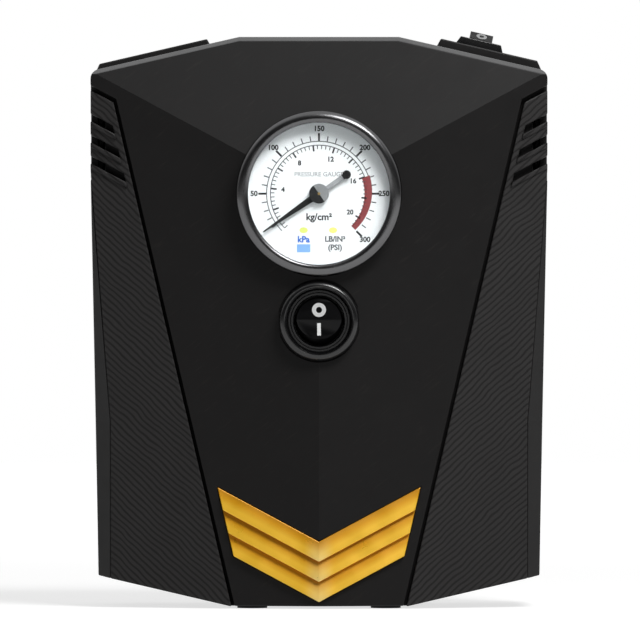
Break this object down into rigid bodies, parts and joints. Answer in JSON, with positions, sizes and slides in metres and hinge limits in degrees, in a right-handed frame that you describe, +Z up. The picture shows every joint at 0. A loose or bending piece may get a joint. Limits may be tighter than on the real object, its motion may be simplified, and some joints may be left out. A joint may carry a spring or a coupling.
{
  "type": "portable tire inflator",
  "caption": "Standing portable tire inflator with a dial pressure gauge, round rocker switch, geared piston pump and a rear bay for hose and lead.",
  "frame": {"origin": "centre of the box under the feet, on the ground", "axes": "+Z up, the dial faces -Y, +X to the right seen from the dial's side"},
  "size_m": [0.137, 0.076, 0.174],
  "materials": {
    "black_abs": "moulded, fine satin grain",
    "textured_abs": "moulded, diagonal hatch",
    "gold_abs": "metallic gold paint",
    "gloss_black": "polished black plastic",
    "black_chrome": "dark chrome plate",
    "clear_plastic": "clear moulded acrylic",
    "dial_white": "white enamel with printed scale",
    "pointer_black": "black enamel",
    "brass": "turned",
    "steel": "zinc plated",
    "cast_aluminium": "die cast",
    "nylon": "moulded natural nylon",
    "rubber": "moulded",
    "copper": "enamelled wire",
    "ferrite": "sintered",
    "board": "white solder mask",
    "led": "phosphor",
    "wire": "PVC insulation"
  },
  "bodies": {
    "housing": {"front_cover": "black_abs", "rear_cover": "black_abs", "side_panel_left": "textured_abs", "side_panel_right": "textured_abs", "chevron_trim": "gold_abs", "gauge_bezel": "black_chrome", "gauge_lens": "clear_plastic", "gauge_case": "steel", "gauge_dial": "dial_white", "movement_plates": "brass", "bourdon_tube": "brass", "bourdon_link": "steel", "gauge_stem": "brass", "main_switch_body": "gloss_black", "main_switch_terminals": "brass", "lamp_switch_body": "gloss_black", "lamp_switch_terminals": "brass", "lamp_lens": "clear_plastic", "lamp_reflector": "black_chrome", "lamp_board": "board", "lamp_leds": "led", "motor_can": "steel", "motor_end_cap": "nylon", "motor_magnets": "ferrite", "motor_brushes": "ferrite", "motor_bushings": "brass", "pump_bracket": "cast_aluminium", "crank_bearings": "steel", "pump_cylinder": "cast_aluminium", "valve_plate": "steel", "outlet_reed": "steel", "cylinder_head": "cast_aluminium", "head_screws": "steel", "outlet_hose": "rubber", "gauge_hose": "rubber", "outlet_nipple": "brass", "lead_gland": "rubber", "power_wires": "wire", "lamp_wires": "wire", "rubber_mounts": "rubber", "feet": "rubber", "housing_screws": "steel", "storage_bay": "black_abs"},
    "pointer": {"gauge_pointer": "pointer_black", "pointer_arbor": "brass"},
    "sector": {"sector_gear": "brass"},
    "main_rocker": {"main_switch_rocker": "gloss_black"},
    "lamp_rocker": {"lamp_switch_rocker": "gloss_black"},
    "rotor": {"motor_armature": "steel", "motor_windings": "copper", "motor_commutator": "copper", "motor_shaft": "steel", "motor_pinion": "brass"},
    "crank": {"crank_gear": "nylon", "crank_shaft": "steel", "crank_counterweight": "cast_aluminium"},
    "piston": {"crank_pin": "steel", "rod_bearing": "steel", "connecting_rod": "cast_aluminium", "piston_seal": "rubber"}
  },
  "joints": [
    {"name": "main_switch", "type": "hinge", "parent": "housing", "child": "main_rocker", "pos_m": [0, -0.0324, 0.086], "axis": [1, 0, 0], "range_deg": [0, 22]},
    {"name": "lamp_switch", "type": "hinge", "parent": "housing", "child": "lamp_rocker", "pos_m": [0.04848, 0.011, 0.16871], "axis": [0.9742, 0, -0.2255], "range_deg": [-24, 0]},
    {"name": "sector_swing", "type": "hinge", "parent": "housing", "child": "sector", "pos_m": [0, -0.0251, 0.11212], "axis": [0, 1, 0], "range_deg": [-32.75, 0], "stiffness_Nm_per_rad": 0.0005},
    {"name": "pointer_turn", "type": "hinge", "parent": "housing", "child": "pointer", "pos_m": [0, -0.034, 0.124], "axis": [0, 1, 0], "range_deg": [0, 262]},
    {"name": "motor_spin", "type": "hinge", "parent": "housing", "child": "rotor", "pos_m": [-0.036, 0.013, 0.04], "axis": [0, 0, 1], "continuous": true},
    {"name": "crank_turn", "type": "hinge", "parent": "housing", "child": "crank", "pos_m": [-0.012, 0.013, 0.07], "axis": [0, 0, 1], "continuous": true},
    {"name": "piston_stroke", "type": "slide", "parent": "housing", "child": "piston", "axis": [1, 0, 0], "range_m": [-0.012, 0]}
  ],
  "couplings": [
    {"joint": "pointer_turn", "follows": "sector_swing", "ratio": -8},
    {"joint": "crank_turn", "follows": "motor_spin", "ratio": -0.25}
  ]
}
